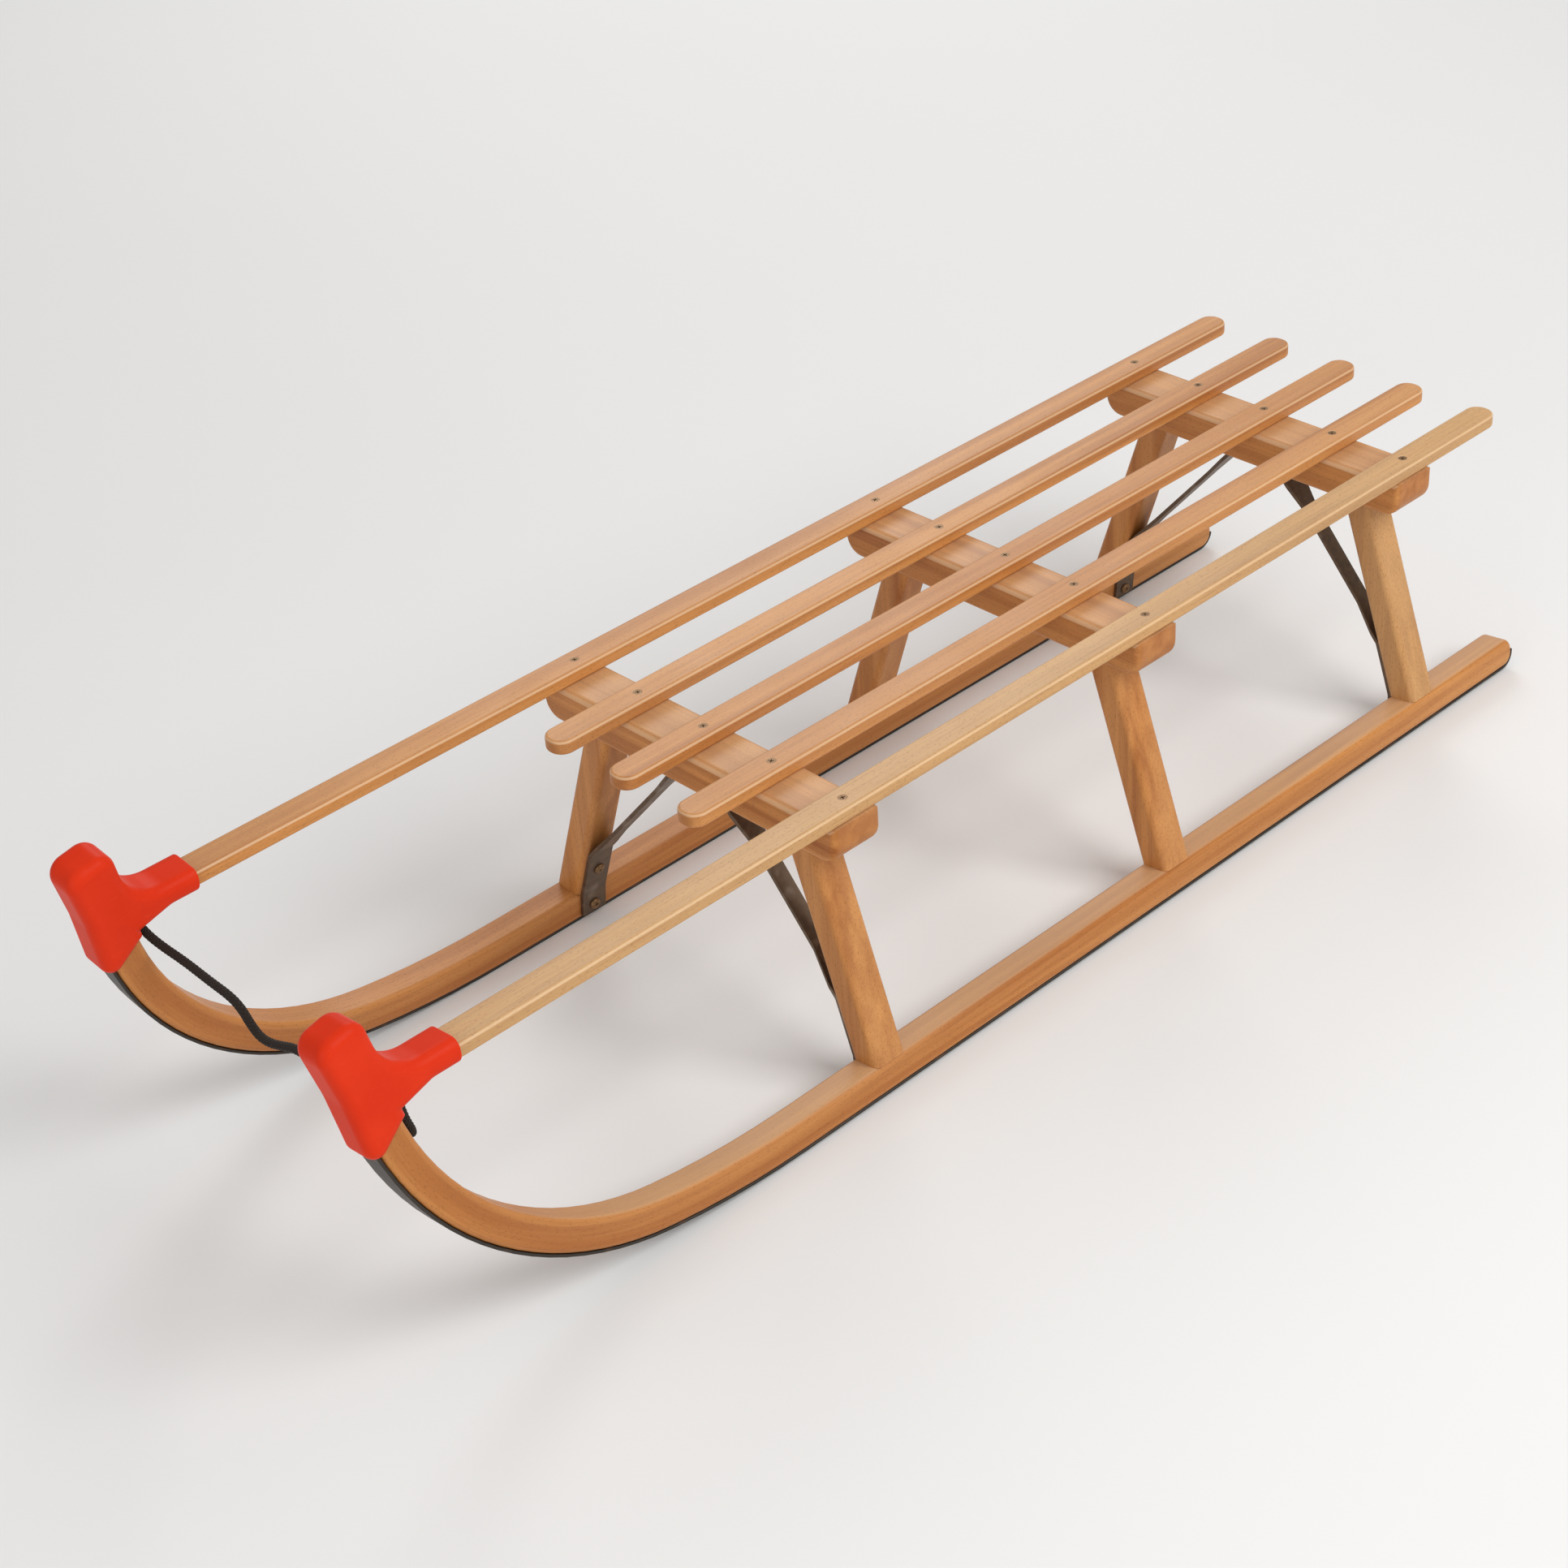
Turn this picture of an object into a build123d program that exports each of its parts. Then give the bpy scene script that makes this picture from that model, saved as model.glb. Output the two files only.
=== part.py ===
from build123d import *
from math import acos, atan2, cos, degrees, radians, sin, tan
import os

os.makedirs("parts", exist_ok=True)

# Davos sled: X points forward to the horns, Y to the sled's left, Z up from the snow.
# All sizes are millimetres, angles are degrees.

# Overall
overall_length = 1200.0
seat_height = 238.0
track = 328.0

# Slats of the seat
slat_pitch = 69.0
slat_width = 24.0
slat_thickness = 11.5
slat_end_radius = 11.4
slat_edge_radius = 2.5
slat_rear_inset = 14.0
slat_front_overhang = 84.0
slat_screw_bore = 4.0
slat_screw_head = 7.6

# Cross beams, the rear one counted from the slats' ends and the front one from the horns' tips
beam_rear_overhang = 114.0
beam_front_setback = 440.0
beam_length = 303.0
beam_width = 45.0
beam_height = 31.0
beam_corner_radius = 16.0
beam_edge_radius = 5.0

# Runners, bent in one plane that leans in over the sled
runner_width = 25.0
runner_depth = 24.0
runner_edge_radius = 4.0
runner_tail_radius = 11.0
sweep_radius = 712.0
sweep_angle = 10.0
horn_angle = 78.0
horn_bend_drop = 19.0
horn_rise = 46.0

# Steel shoes under the runners
shoe_width = 22.0
shoe_thickness = 2.5
shoe_edge_radius = 1.0
shoe_gap = 0.2
shoe_tuck = 16.0

# Legs, splayed and tenoned at both ends
leg_depth = 29.0
leg_edge_radius = 5.0
leg_head_y = 104.0
tenon_depth = 17.0
tenon_width = 14.0
tenon_corner_radius = 4.0
head_tenon_length = 20.0
foot_tenon_length = 14.0
tenon_fit = 0.25

# Steel braces of the front and rear trestles: a bar, forged flat and wide where it is screwed on
brace_width = 23.0
brace_bar_width = 13.5
brace_thickness = 3.0
brace_bend_radius = 7.0
brace_shoulder_y = 25.0
brace_knee_height = 70.0
brace_foot_drop = 20.0
brace_taper = 18.0
brace_screw_bore = 5.0
brace_leg_screw = 27.0
brace_runner_screw = 13.0

# Moulded caps that join each horn to an outer slat
cap_side_wall = 2.8
cap_front_wall = 5.4
cap_crown_wall = 7.6
cap_toe_wall = 7.6
cap_rear_wall = 5.2
cap_lip_wall = 3.4
cap_crown = 8.5
cap_crown_radius = 13.0
cap_waist_radius = 60.0
cap_waist_rise = 8.0
cap_saddle_radius = 32.0
cap_web_radius = 14.0
cap_web_drop = 15.5
cap_lip_drop = 20.5
cap_toe_drop = 47.0
cap_toe_radius = 8.6
cap_edge_radius = 8.0
cap_mouth_radius = 1.6
cap_fit = 0.3
socket_length = 48.0
socket_roof = 4.6
socket_floor = 2.2
socket_shelf = 22.0
slat_grip = 25.0

# Pull cord between the two caps
cord_diameter = 6.5
cord_behind_horn = 7.0
cord_depth_in_cap = 5.0
cord_first_run = 9.0
cord_fit = 0.3
cord_bend_share = 0.45

# Heights and stations that follow from the sizes above
outer_slat_y = 2 * slat_pitch
slat_bottom = seat_height - slat_thickness
slat_middle = seat_height - slat_thickness / 2
beam_bottom = slat_bottom - beam_height
slat_rear = -overall_length / 2 + slat_rear_inset
front_beam_x = overall_length / 2 - beam_front_setback
rear_beam_x = slat_rear + beam_rear_overhang
beam_stations = [front_beam_x, (front_beam_x + rear_beam_x) / 2, rear_beam_x]

# The runner's plane goes through the sole's middle and the outer slat's middle
lean = degrees(atan2(track / 2 - outer_slat_y, slat_middle))
lean_sin = sin(radians(lean))
lean_cos = cos(radians(lean))
sole_lift = shoe_width / 2 * lean_sin - shoe_edge_radius * (lean_cos + lean_sin - 1)
runner_plane = Plane(
    origin=(0, track / 2, sole_lift), x_dir=(1, 0, 0), z_dir=(0, -lean_cos, -lean_sin)
)
wood_sole = shoe_thickness + shoe_gap
slat_level = (slat_middle - sole_lift) / lean_cos

# Horn: its bend ends a set drop below the slats, whatever their height
horn_along = Vector(cos(radians(horn_angle)), sin(radians(horn_angle)))
horn_across = Vector(sin(radians(horn_angle)), -cos(radians(horn_angle)))
sweep_rise = sweep_radius * (1 - cos(radians(sweep_angle)))
bend_top = slat_level - horn_bend_drop
bend_cosines = cos(radians(sweep_angle)) - cos(radians(horn_angle))
horn_radius = (bend_top - wood_sole - sweep_rise) / bend_cosines
horn_straight = (slat_level + horn_rise - bend_top) / horn_along.Y

# Reach of the horn from the start of the bend to the cap's foremost point
bend_reach = sweep_radius * sin(radians(sweep_angle)) + horn_radius * (
    sin(radians(horn_angle)) - sin(radians(sweep_angle))
)
crown_centre = (
    horn_along * (horn_straight + cap_fit + cap_crown - cap_crown_radius)
    + horn_across * (cap_fit + cap_crown_wall - cap_crown_radius)
)
bend_start = overall_length / 2 - bend_reach - crown_centre.X - cap_crown_radius
tail_x = -overall_length / 2 + shoe_thickness + shoe_gap

# The shoe follows the bend up to the cap's toe, and its end is straight inside the cap
toe_level = slat_level - cap_toe_drop
shoe_angle = degrees(acos(cos(radians(horn_angle)) + (bend_top - toe_level) / horn_radius))


def sole_line(start_x, drop, end_angle):
    """Draw a line along the runner's underside, a drop below it, and on up the horn's bend."""
    flat = Line((start_x, wood_sole - drop), (bend_start, wood_sole - drop))
    sweep_up = JernArc(flat @ 1, flat % 1, sweep_radius + drop, sweep_angle)
    return JernArc(sweep_up @ 1, sweep_up % 1, horn_radius + drop, end_angle - sweep_angle)


def on_runner(point, outward=0.0):
    """World position of a point of the runner's plane, moved outward from it."""
    return runner_plane.from_local_coords(Vector(point.X, point.Y, -outward))


def runner_bar(growth):
    """The bent bar of a runner, grown all round for the pocket that it fits."""
    with BuildPart() as bar:
        with BuildSketch(runner_plane):
            with BuildLine():
                bend = sole_line(tail_x, growth, horn_angle)
                Line(bend @ 1, bend @ 1 + (bend % 1) * (horn_straight + growth))
                offset(amount=runner_depth + 2 * growth, side=Side.LEFT)
            make_face()
            fillet(vertices().sort_by(Axis.X)[0:2], radius=runner_tail_radius + growth)
        extrude(amount=runner_width / 2 + growth, both=True)
        side_faces = faces().sort_by(Axis((0, 0, 0), runner_plane.z_dir))
        fillet(side_faces[0].edges() + side_faces[-1].edges(), radius=runner_edge_radius + growth)
    return bar.part


def shoe_strip(growth):
    """The steel strip under a runner and round its tail, grown for the pocket that it fits."""
    with BuildPart() as strip:
        with BuildSketch(runner_plane):
            with BuildLine():
                hook_start = (tail_x - shoe_gap, wood_sole + runner_tail_radius)
                JernArc(hook_start, (0, -1), runner_tail_radius + shoe_gap, 90)
                bend = sole_line(tail_x + runner_tail_radius, shoe_gap, shoe_angle)
                Line(bend @ 1, bend @ 1 + (bend % 1) * (shoe_tuck + growth))
                offset(amount=shoe_thickness + growth, side=Side.RIGHT)
            make_face()
        extrude(amount=shoe_width / 2 + growth, both=True)
        side_faces = faces().sort_by(Axis((0, 0, 0), runner_plane.z_dir))
        fillet(side_faces[0].edges() + side_faces[-1].edges(), radius=shoe_edge_radius)
    return strip.part


# Where the bend ends, on the runner's centre line
with BuildLine():
    bend_guide = sole_line(tail_x, 0, horn_angle)
horn_root = (bend_guide @ 1) - horn_across * (runner_depth / 2)
horn_world = Vector(horn_along.X, -horn_along.Y * lean_sin, horn_along.Y * lean_cos)

# Legs: foot on the middle of the runner's top, head under the beam
runner_top = wood_sole + runner_depth
leg_foot = on_runner(Vector(0, runner_top))
runner_top_plane = Plane(origin=leg_foot, x_dir=(1, 0, 0), z_dir=(0, -lean_sin, lean_cos))
splay = degrees(atan2(leg_foot.Y - leg_head_y, beam_bottom - leg_foot.Z))
leg_width = runner_width * cos(radians(splay - lean))
leg_axis = Vector(0, -sin(radians(splay)), cos(radians(splay)))
leg_length = (beam_bottom - leg_foot.Z) / leg_axis.Z


def leg_plane(station, side=1):
    """Plane across a leg at its foot, with its normal up the leg."""
    return Plane(
        origin=(station, side * leg_foot.Y, leg_foot.Z),
        x_dir=(1, 0, 0),
        z_dir=(0, side * leg_axis.Y, leg_axis.Z),
    )


def mortise(foot_plane, start, depth):
    """Cut the pocket for a leg's tenon, from a distance up the leg."""
    with BuildSketch(foot_plane.offset(start)) as pocket:
        RectangleRounded(
            tenon_depth + 2 * tenon_fit, tenon_width + 2 * tenon_fit, tenon_corner_radius + tenon_fit
        )
    extrude(pocket.sketch, amount=depth, mode=Mode.SUBTRACT)


def finish(name, solid):
    """Label a piece and write its file."""
    solid.label = name
    export_step(solid, "parts/" + name + ".step")


def finish_pair(name, left_solid):
    """Write a left-hand piece and its mirror image."""
    finish(name + "_left", left_solid)
    finish(name + "_right", mirror(left_solid, about=Plane.XZ))


# Runner, with the pockets for the legs' lower tenons
runner_blank = runner_bar(0)
with BuildPart() as runner:
    add(runner_blank)
    for station in beam_stations:
        mortise(leg_plane(station), tenon_width, -tenon_width - foot_tenon_length - tenon_fit)
finish_pair("runner", runner.part)

# Steel shoe
finish_pair("runner_shoe", shoe_strip(0))

# Legs with a tenon at each end
for place, station in zip(("front", "middle", "rear"), beam_stations):
    with BuildPart() as leg:
        with BuildSketch(leg_plane(station).offset(-leg_width)):
            RectangleRounded(leg_depth, leg_width, leg_edge_radius)
        extrude(amount=leg_length + 2 * leg_width)
        split(bisect_by=Plane.XY.offset(beam_bottom), keep=Keep.BOTTOM)
        split(bisect_by=runner_top_plane, keep=Keep.TOP)
        with BuildSketch(leg_plane(station).offset(-foot_tenon_length)):
            RectangleRounded(tenon_depth, tenon_width, tenon_corner_radius)
        extrude(amount=foot_tenon_length + leg_length + head_tenon_length)
    finish_pair("leg_" + place, leg.part)

# Cross beams, round at the lower corners of their ends
for place, station in zip(("front", "middle", "rear"), beam_stations):
    with BuildPart() as beam:
        with BuildSketch(Plane.YZ.offset(station)):
            with Locations((0, beam_bottom)):
                Rectangle(beam_length, beam_height, align=(Align.CENTER, Align.MIN))
            fillet(vertices().sort_by(Axis.Y)[0:2], radius=beam_corner_radius)
        extrude(amount=beam_width / 2, both=True)
        faces_by_x = faces().sort_by(Axis.X)
        fillet(faces_by_x[0].edges() + faces_by_x[-1].edges(), radius=beam_edge_radius)
        for side in (1, -1):
            below_beam = leg_length - tenon_width
            mortise(leg_plane(station, side), below_beam, tenon_width + head_tenon_length + tenon_fit)
    finish("cross_beam_" + place, beam.part)

# Cap outline, in the runner's plane: distances along the horn and across it, then the slat's socket
sleeve_rear = runner_depth / 2 + cap_fit + cap_rear_wall
lip_rear = runner_depth / 2 + cap_fit + cap_lip_wall
horn_front = runner_depth / 2 + cap_fit
crown_level = horn_straight + cap_fit + cap_crown


def beside_horn(level, distance):
    """Point at a level of the runner's plane, a distance in front of the horn's centre line."""
    base = horn_root + horn_across * distance
    return base + horn_along * ((level - base.Y) / horn_along.Y)


slat_half = slat_thickness / 2 + cap_fit
mouth_x = beside_horn(slat_level, -sleeve_rear).X - socket_length
toe = beside_horn(toe_level, horn_front + cap_toe_wall)
waist = beside_horn(slat_level + cap_waist_rise, horn_front + cap_front_wall)
crown_front = horn_root + horn_along * crown_level + horn_across * (horn_front + cap_crown_wall)
crown_rear = horn_root + horn_along * crown_level - horn_across * sleeve_rear
saddle = beside_horn(slat_level + slat_half + socket_roof, -sleeve_rear)
mouth_top = Vector(mouth_x, slat_level + slat_half + socket_roof)
mouth_foot = Vector(mouth_x, slat_level - slat_half - socket_floor)
shelf = mouth_foot + Vector(socket_shelf, 0)
crotch = beside_horn(slat_level - cap_web_drop, -lip_rear)
lip = beside_horn(slat_level - cap_lip_drop, -lip_rear)
rounded_corners = (
    (toe, cap_toe_radius),
    (waist, cap_waist_radius),
    (crown_front, cap_crown_radius),
    (crown_rear, cap_crown_radius),
    (saddle, cap_saddle_radius),
    (shelf, cap_web_radius),
)

# Cord axis: it leaves the cap's web just behind the horn and runs down along it
cord_way = beside_horn(slat_level - cap_web_drop, -runner_depth / 2 - cord_behind_horn)
cord_start = on_runner(cord_way + horn_along * cord_depth_in_cap)

# Cap: a sleeve over the horn and a socket for the outer slat, in one moulding
horn_core = runner_bar(cap_fit)
shoe_core = shoe_strip(cap_fit)
with BuildPart() as cap:
    with BuildSketch(runner_plane):
        with BuildLine():
            Polyline(
                toe, waist, crown_front, crown_rear, saddle,
                mouth_top, mouth_foot, shelf, crotch, lip,
                close=True,
            )
        make_face()
        for corner, corner_radius in rounded_corners:
            fillet(vertices().sort_by_distance(corner)[0], radius=corner_radius)
    extrude(amount=runner_width / 2 + cap_fit + cap_side_wall, both=True)
    side_faces = faces().sort_by(Axis((0, 0, 0), runner_plane.z_dir))
    rim_face = faces().sort_by_distance(on_runner((toe + lip) * 0.5))[0]
    mouth_face = faces().sort_by(Axis.X)[0]
    outline = side_faces[0].edges() + side_faces[-1].edges() - rim_face.edges() - mouth_face.edges()
    fillet(outline, radius=cap_edge_radius)
    fillet(faces().sort_by(Axis.X)[0].edges(), radius=cap_mouth_radius)
    add(horn_core, mode=Mode.SUBTRACT)
    add(shoe_core, mode=Mode.SUBTRACT)
    with BuildSketch(
        Plane(origin=(mouth_x, outer_slat_y, slat_middle), x_dir=(0, 1, 0), z_dir=(1, 0, 0))
    ):
        RectangleRounded(
            slat_width + 2 * cap_fit, slat_thickness + 2 * cap_fit, slat_edge_radius + cap_fit
        )
    extrude(amount=slat_grip + cap_fit, mode=Mode.SUBTRACT)
    with BuildSketch(Plane(origin=cord_start, z_dir=-horn_world)):
        Circle(cord_diameter / 2 + cord_fit)
    extrude(amount=cord_depth_in_cap + cap_lip_drop, mode=Mode.SUBTRACT)
finish_pair("tip_cap", cap.part)

# Slats, screwed down on every beam
inner_front = front_beam_x + slat_front_overhang
outer_front = mouth_x + slat_grip
slats = (
    ("slat_outer_left", 2, outer_front),
    ("slat_inner_left", 1, inner_front),
    ("slat_centre", 0, inner_front),
    ("slat_inner_right", -1, inner_front),
    ("slat_outer_right", -2, outer_front),
)
for name, place, front in slats:
    slat_y = place * slat_pitch
    with BuildPart() as slat:
        with BuildSketch(Plane.XY.offset(slat_bottom)):
            with Locations(((slat_rear + front) / 2, slat_y)):
                RectangleRounded(front - slat_rear, slat_width, slat_end_radius)
        extrude(amount=slat_thickness)
        flat_faces = faces().filter_by(Axis.Z)
        fillet(flat_faces.edges(), radius=slat_edge_radius)
        with Locations(*[(station, slat_y, seat_height) for station in beam_stations]):
            CounterSinkHole(slat_screw_bore / 2, slat_screw_head / 2, slat_thickness)
    finish(name, slat.part)

# Braces: one bar per trestle, from runner to runner under the beam
corner = on_runner(Vector(0, runner_top), -runner_width / 2)
knee = corner + leg_axis * ((brace_knee_height - corner.Z) / leg_axis.Z)
foot = corner - runner_top_plane.z_dir * brace_foot_drop
half_line = [
    (foot.Y, foot.Z),
    (corner.Y, corner.Z),
    (knee.Y, knee.Z),
    (brace_shoulder_y, beam_bottom),
]
full_line = half_line + [(-y, z) for y, z in reversed(half_line)]
strut_start = brace_shoulder_y + brace_taper
strut_end = knee.Y - brace_taper
leg_inward = Vector(0, -leg_axis.Z, leg_axis.Y)
screw_spots = (
    (corner + leg_axis * brace_leg_screw, leg_inward),
    (corner - runner_top_plane.z_dir * brace_runner_screw, runner_plane.z_dir),
)


def brace_hole(station, side, spot, inward):
    """Drill a screw hole through the bar, from its free face to the wood behind it."""
    free_face = spot + inward * brace_thickness
    with Locations(
        Plane(
            origin=(station, side * free_face.Y, free_face.Z),
            x_dir=(1, 0, 0),
            z_dir=(0, side * inward.Y, inward.Z),
        )
    ):
        Hole(brace_screw_bore / 2, depth=2 * brace_thickness)


for place, station in (("front", front_beam_x), ("rear", rear_beam_x)):
    with BuildPart() as brace:
        with BuildSketch(Plane.YZ.offset(station)):
            with BuildLine():
                FilletPolyline(*full_line, radius=brace_bend_radius)
                offset(amount=brace_thickness, side=Side.LEFT)
            make_face()
        extrude(amount=brace_width / 2, both=True)
        with BuildSketch(Plane.XY):
            with BuildLine():
                Polyline(
                    (station + brace_width / 2, strut_start - brace_taper / 2),
                    (station + brace_bar_width / 2, strut_start + brace_taper / 2),
                    (station + brace_bar_width / 2, strut_end - brace_taper / 2),
                    (station + brace_width / 2, strut_end + brace_taper / 2),
                    close=True,
                )
            make_face()
            mirror(about=Plane.XZ)
            mirror(about=Plane.YZ.offset(station))
        extrude(amount=seat_height, mode=Mode.SUBTRACT)
        for spot, inward in screw_spots:
            brace_hole(station, 1, spot, inward)
            brace_hole(station, -1, spot, inward)
        brace_hole(station, 1, Vector(0, 0, beam_bottom), Vector(0, 0, -1))
    finish("brace_" + place, brace.part)

# Pull cord: out of the left cap's web, down behind the horn, across with one dip, and up into the right cap
cord_turn = cord_start - horn_world * cord_first_run
route = [
    cord_start,
    cord_turn,
    Vector(542.6, 141.9, 199.0),
    Vector(538.4, 142.0, 188.0),
    Vector(535.6, 136.8, 180.0),
    Vector(535.0, 125.5, 176.2),
    Vector(536.5, 107.5, 177.5),
    Vector(539.0, 84.0, 184.0),
    Vector(541.0, 52.0, 189.5),
    Vector(541.0, 22.0, 189.0),
    Vector(541.0, 4.0, 181.5),
    Vector(541.0, -9.0, 176.7),
    Vector(541.0, -21.0, 176.0),
    Vector(541.0, -30.0, 182.5),
    Vector(541.0, -37.5, 191.0),
    Vector(541.0, -49.0, 195.0),
    Vector(541.5, -70.0, 196.5),
    Vector(541.8, -97.0, 199.2),
    Vector(542.9, -122.0, 200.4),
    Vector(544.3, -135.2, 204.2),
    Vector(cord_turn.X, -cord_turn.Y, cord_turn.Z),
    Vector(cord_start.X, -cord_start.Y, cord_start.Z),
]
cord_radii = []
for before, point, after in zip(route, route[1:], route[2:]):
    half_turn = radians((point - before).get_angle(after - point)) / 2
    cord_radii.append(cord_bend_share * min((point - before).length, (after - point).length) / tan(half_turn))
with BuildPart() as cord:
    with BuildLine():
        cord_line = FilletPolyline(*route, radius=cord_radii)
    with BuildSketch(Plane(origin=cord_start, z_dir=cord_line % 0)):
        Circle(cord_diameter / 2)
    sweep()
print("cord bend radii", [round(radius, 1) for radius in cord_radii])
print("cord start", cord_start, "turn", cord_turn, "length", cord_line.length)
print("cord volume", cord.part.volume)
finish("pull_cord", cord.part)
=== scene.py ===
import math

import bmesh
import bpy
from mathutils import Matrix, Vector


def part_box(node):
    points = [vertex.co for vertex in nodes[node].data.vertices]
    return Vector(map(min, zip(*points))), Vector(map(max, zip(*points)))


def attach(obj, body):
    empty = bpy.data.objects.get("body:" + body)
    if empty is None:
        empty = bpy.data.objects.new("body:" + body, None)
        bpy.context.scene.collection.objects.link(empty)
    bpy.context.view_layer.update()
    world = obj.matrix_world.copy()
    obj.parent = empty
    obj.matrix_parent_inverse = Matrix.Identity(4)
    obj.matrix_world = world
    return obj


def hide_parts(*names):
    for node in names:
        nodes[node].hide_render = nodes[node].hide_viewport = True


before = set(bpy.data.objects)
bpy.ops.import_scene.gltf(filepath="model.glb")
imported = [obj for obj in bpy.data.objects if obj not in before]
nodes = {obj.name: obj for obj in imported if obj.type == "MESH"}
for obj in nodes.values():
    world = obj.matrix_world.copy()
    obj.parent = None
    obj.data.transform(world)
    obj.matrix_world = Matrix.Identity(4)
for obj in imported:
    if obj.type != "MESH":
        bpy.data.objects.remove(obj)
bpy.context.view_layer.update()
body = "root"

# Sizes are metres, in the sled's frame: X forward to the horns, Y to the sled's left, Z up from the snow.
mm = 0.001

# Camera, at the photograph's viewing angle
camera_place = Vector((1.3177, 1.3584, 1.3712))
camera_heading = math.radians(-132.174)
camera_dip = math.radians(33.649)
camera_roll = math.radians(-3.994)
camera_lens_mm = 68.98
camera_sensor_mm = 36.0

# Pull cord: its route from the left cap to the right one, and its braid
cord_route = (
    (0.549137, 0.139306, 0.221707),
    (0.547265, 0.140285, 0.212958),
    (0.5448, 0.1404, 0.1995),
    (0.5410, 0.1398, 0.1885),
    (0.5380, 0.1350, 0.1805),
    (0.5350, 0.1255, 0.1762),
    (0.5365, 0.1075, 0.1775),
    (0.5390, 0.0840, 0.1840),
    (0.5410, 0.0520, 0.1895),
    (0.5410, 0.0220, 0.1890),
    (0.5410, 0.0040, 0.1815),
    (0.5410, -0.0090, 0.1767),
    (0.5410, -0.0210, 0.1760),
    (0.5410, -0.0300, 0.1825),
    (0.5410, -0.0375, 0.1910),
    (0.5410, -0.0490, 0.1950),
    (0.5415, -0.0700, 0.1965),
    (0.5418, -0.0970, 0.1992),
    (0.5429, -0.1220, 0.2004),
    (0.5443, -0.1352, 0.2042),
    (0.547265, -0.140285, 0.212958),
    (0.549137, -0.139306, 0.221707),
)
cord_diameter = 6.5 * mm
cord_steps_per_point = 32
braid_pitch = 20.0 * mm
braid_strands = 6
strand_half_width = 1.05 * mm
strand_half_thickness = 0.52 * mm
strand_sides = 6
braid_weave = 0.3 * mm
braid_core_radius = 2.05 * mm
braid_core_sides = 12

# The runner's plane leans in, and the runner bends in it in two arcs
runner_foot = 0.164
runner_lift = 1.12 * mm
runner_lean = math.radians(6.387)
runner_sole = 2.7 * mm
bend_start = 0.2482
sweep_radius = 0.712
sweep_angle = math.radians(10.0)
horn_radius = 0.2575

# Legs lean in from the runners to the beams
leg_splay = math.radians(18.77)

# Pieces of wood, with the share of pale sapwood in each, and how strong the painted sheen and light is on the
# faces that lie upward
slat_sapwood = {
    "slat_outer_left": 0.52,
    "slat_inner_left": 0.02,
    "slat_centre": 0.02,
    "slat_inner_right": 0.06,
    "slat_outer_right": 0.05,
}
# Painted sheen and light on the faces that lie upward: the share of a pale colour laid over them
slat_painted_sheen = 0.11
beam_painted_sheen = 0.3
runner_painted_sheen = {"left": 0.42, "right": 0.04}
beam_sapwood = {"cross_beam_front": 0.02, "cross_beam_middle": 0.0, "cross_beam_rear": 0.0}
leg_sapwood = {
    "leg_front_left": 0.06,
    "leg_front_right": 0.0,
    "leg_middle_left": 0.02,
    "leg_middle_right": 0.0,
    "leg_rear_left": 0.38,
    "leg_rear_right": 0.0,
}

# Screws: slat screws sit in the slats' countersinks, brace screws on the steel. A brace spot is its place
# across and up, and the lean of the leg or runner behind it.
seat_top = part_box("slat_centre")[1].z
slat_lines = [sum(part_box(name), Vector()).y / 2 for name in slat_sapwood]
beam_lines = {name: sum(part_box(name), Vector()).x / 2 for name in beam_sapwood}
beam_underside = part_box("cross_beam_front")[0].z
brace_thickness = 3.0 * mm
brace_spots = (
    (0.13708, 0.05086, leg_splay),
    (0.14707, 0.01301, runner_lean),
)
screw_sink = 0.25 * mm
screw_head_radius = 3.5 * mm
screw_cone_depth = 1.95 * mm
screw_shank_radius = 1.8 * mm
screw_shank_end = 6.0 * mm
pan_head_radius = 4.6 * mm
pan_head_height = 2.6 * mm
pan_head_shares = ((0.62, 1.0), (0.86, 0.8), (1.0, 0.35), (1.0, 0.0))
recess_reach = 2.0 * mm
recess_half_width = 0.5 * mm
recess_depth = 1.2 * mm
recess_taper = 0.6
head_sides = 24
slat_screw_seed = 3
brace_screw_seed = 5

# Studio: each lamp's place, the point it is aimed at, its size and its power in watts
floor_size = 14.0
floor_gap = 0.2 * mm
room_strength = 0.5
lamps = {
    "key": ((-0.5, 2.3, 2.5), (0.0, 0.0, 0.1), 2.0, 70.0),
    "back": ((-2.1, -2.35, 2.3), (0.0, 0.0, 0.2), 1.6, 34.0),
    "front": ((2.7, 0.8, 0.9), (0.0, 0.0, 0.1), 1.4, 13.0),
}


def linear(hex_colour):
    """A colour socket's value from an sRGB hex colour."""
    channels = []
    for place in (1, 3, 5):
        value = int(hex_colour[place:place + 2], 16) / 255
        channels.append(value / 12.92 if value <= 0.04045 else ((value + 0.055) / 1.055) ** 2.4)
    return (*channels, 1.0)


def add(tree, kind, feeds=None, **settings):
    """Add a node with its settings. Feeds are values for its sockets, or outputs that are linked to them."""
    node = tree.nodes.new(kind)
    for option, value in settings.items():
        setattr(node, option, value)
    for socket, feed in (feeds or {}).items():
        if isinstance(feed, bpy.types.NodeSocket):
            tree.links.new(feed, node.inputs[socket])
        else:
            node.inputs[socket].default_value = feed
    return node


def show(name, mesh, *materials):
    """Put a mesh into the scene as a piece of the sled."""
    for material in materials:
        mesh.materials.append(material)
    piece = bpy.data.objects.new(name, mesh)
    bpy.context.scene.collection.objects.link(piece)
    return piece


def plain_mesh(piece, name):
    """The evaluated shape of an object as a mesh of its own."""
    depsgraph = bpy.context.evaluated_depsgraph_get()
    mesh = bpy.data.meshes.new_from_object(piece.evaluated_get(depsgraph))
    mesh.name = name
    return mesh


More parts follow.
